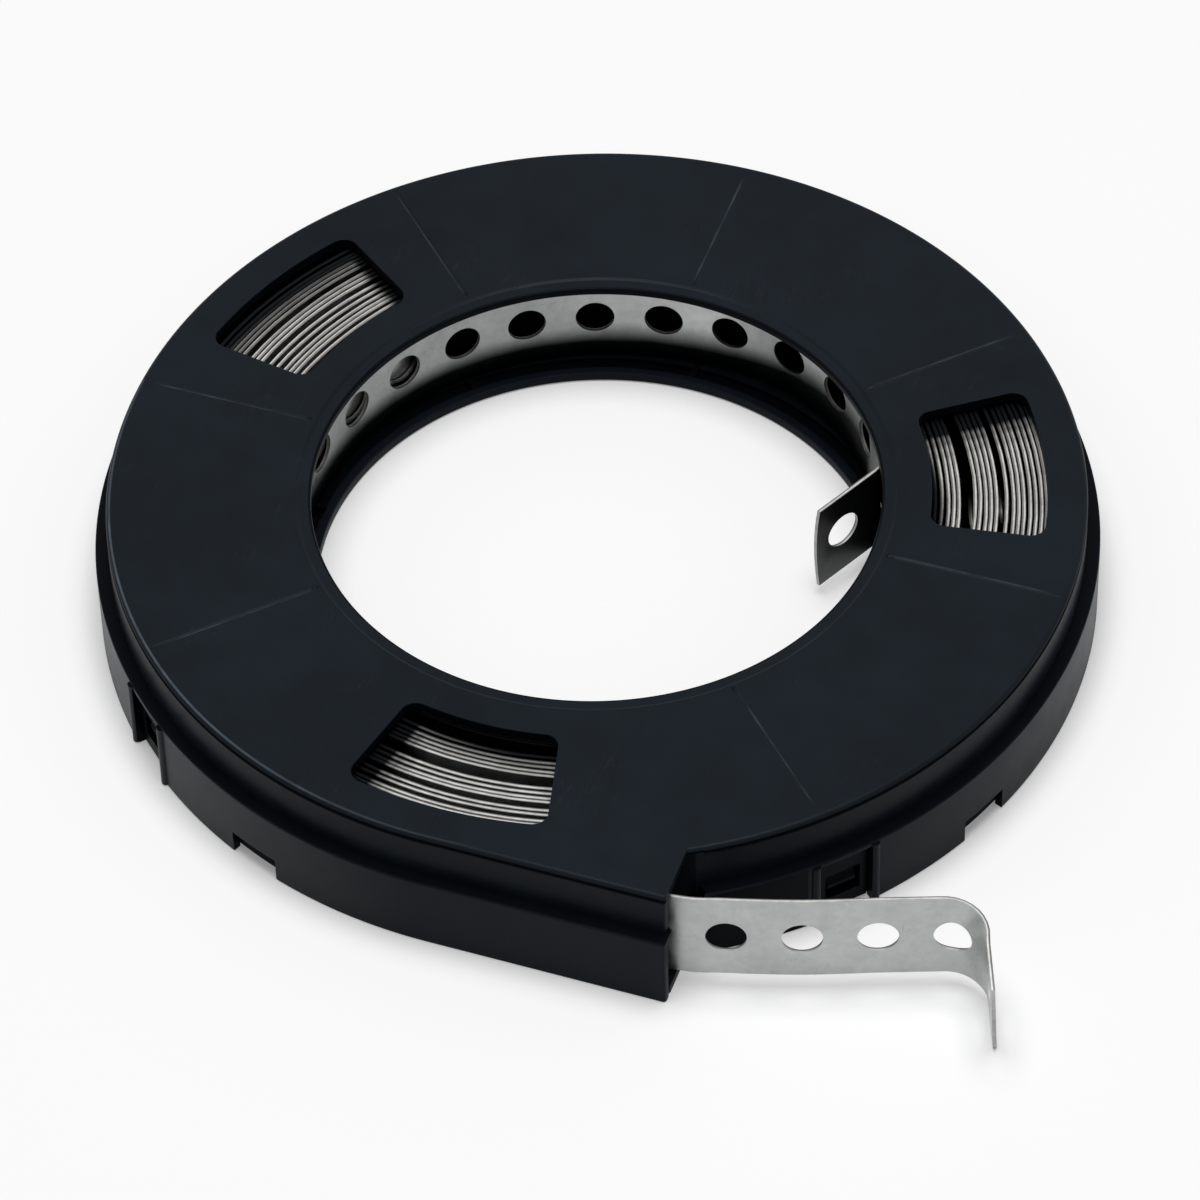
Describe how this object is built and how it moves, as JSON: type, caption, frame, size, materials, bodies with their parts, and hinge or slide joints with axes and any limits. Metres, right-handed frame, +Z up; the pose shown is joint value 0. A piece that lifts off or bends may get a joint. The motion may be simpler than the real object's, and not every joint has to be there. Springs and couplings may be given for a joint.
{
  "type": "perforated steel strap coil in a dispenser case",
  "caption": "Galvanised perforated fixing strap coiled in a ring-shaped plastic case, with its outer end leaving through a tangential spout",
  "frame": {"origin": "middle of the bounding box of the whole part, on the floor it lies on", "axes": "+X along the spout, the way the strap leaves; +Z up, along the axis of the ring"},
  "size_m": [0.168, 0.1592, 0.0215],
  "materials": {
    "cover": "moulded, satin black",
    "base": "moulded, satin black",
    "strap": "galvanised"
  },
  "bodies": {
    "root": {"case_cover": "cover", "case_base": "base", "strap": "strap"}
  },
  "joints": []
}
